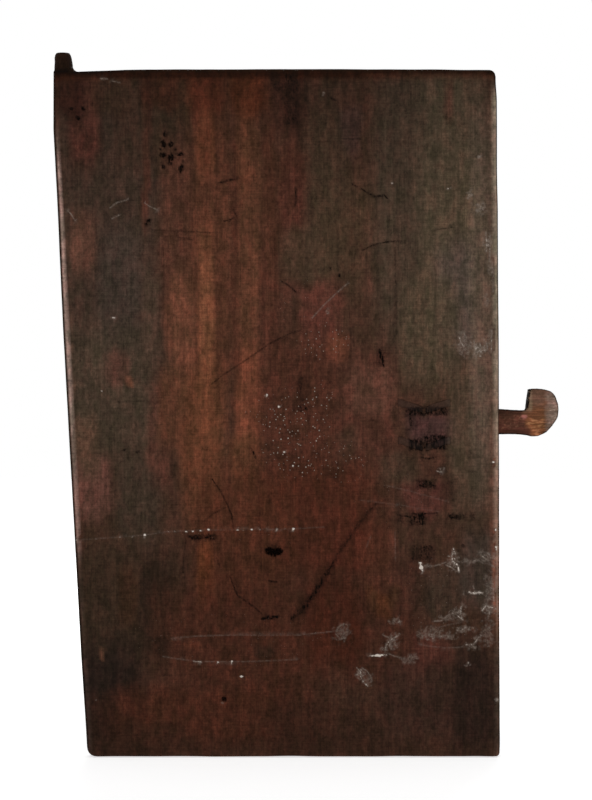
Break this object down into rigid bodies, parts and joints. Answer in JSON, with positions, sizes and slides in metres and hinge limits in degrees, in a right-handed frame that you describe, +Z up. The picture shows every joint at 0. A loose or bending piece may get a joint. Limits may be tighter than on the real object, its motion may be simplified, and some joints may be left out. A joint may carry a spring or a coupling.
{
  "type": "granary door",
  "caption": "Small granary door of hewn plank with a pivot peg at its top corner and a wooden tumbler lock whose D-headed bolt slides past the closing edge.",
  "frame": {"origin": "axis of the pivot peg, at the foot of its round bearing", "axes": "+Z up along the pivot peg's axis; -Y out of the plank's plain inner face, +Y out of the outer face that carries the lock; +X from the pivot to the closing edge"},
  "size_m": [0.5187, 0.0755, 0.7204],
  "materials": {
    "plank_wood": "hand-hewn hardwood, dark with smoke and handling, dull",
    "case_wood": "adzed hardwood, dark, worn smooth on its corners",
    "bolt_wood": "reddish brown hardwood, rubbed smooth by use",
    "forged_iron": "hand-forged, hammered, dark scale with rust"
  },
  "bodies": {
    "leaf": {"door_plank": "plank_wood", "lock_case": "case_wood", "upper_staple": "forged_iron", "lower_staple": "forged_iron"},
    "bolt": {"lock_bolt": "bolt_wood"},
    "tumbler_1": {"tumbler_pin_1": "bolt_wood"},
    "tumbler_2": {"tumbler_pin_2": "bolt_wood"},
    "tumbler_3": {"tumbler_pin_3": "bolt_wood"},
    "tumbler_4": {"tumbler_pin_4": "bolt_wood"}
  },
  "joints": [
    {"name": "bolt_slide", "type": "slide", "parent": "leaf", "child": "bolt", "axis": [-1, 0, 0], "range_m": [0, 0.07]},
    {"name": "tumbler_1_lift", "type": "slide", "parent": "leaf", "child": "tumbler_1", "axis": [0, 0, 1], "range_m": [-0.01, 0.0027]},
    {"name": "tumbler_2_lift", "type": "slide", "parent": "leaf", "child": "tumbler_2", "axis": [0, 0, 1], "range_m": [-0.01, 0.0027]},
    {"name": "tumbler_3_lift", "type": "slide", "parent": "leaf", "child": "tumbler_3", "axis": [0, 0, 1], "range_m": [-0.01, 0.0027]},
    {"name": "tumbler_4_lift", "type": "slide", "parent": "leaf", "child": "tumbler_4", "axis": [0, 0, 1], "range_m": [-0.01, 0.0027]}
  ]
}
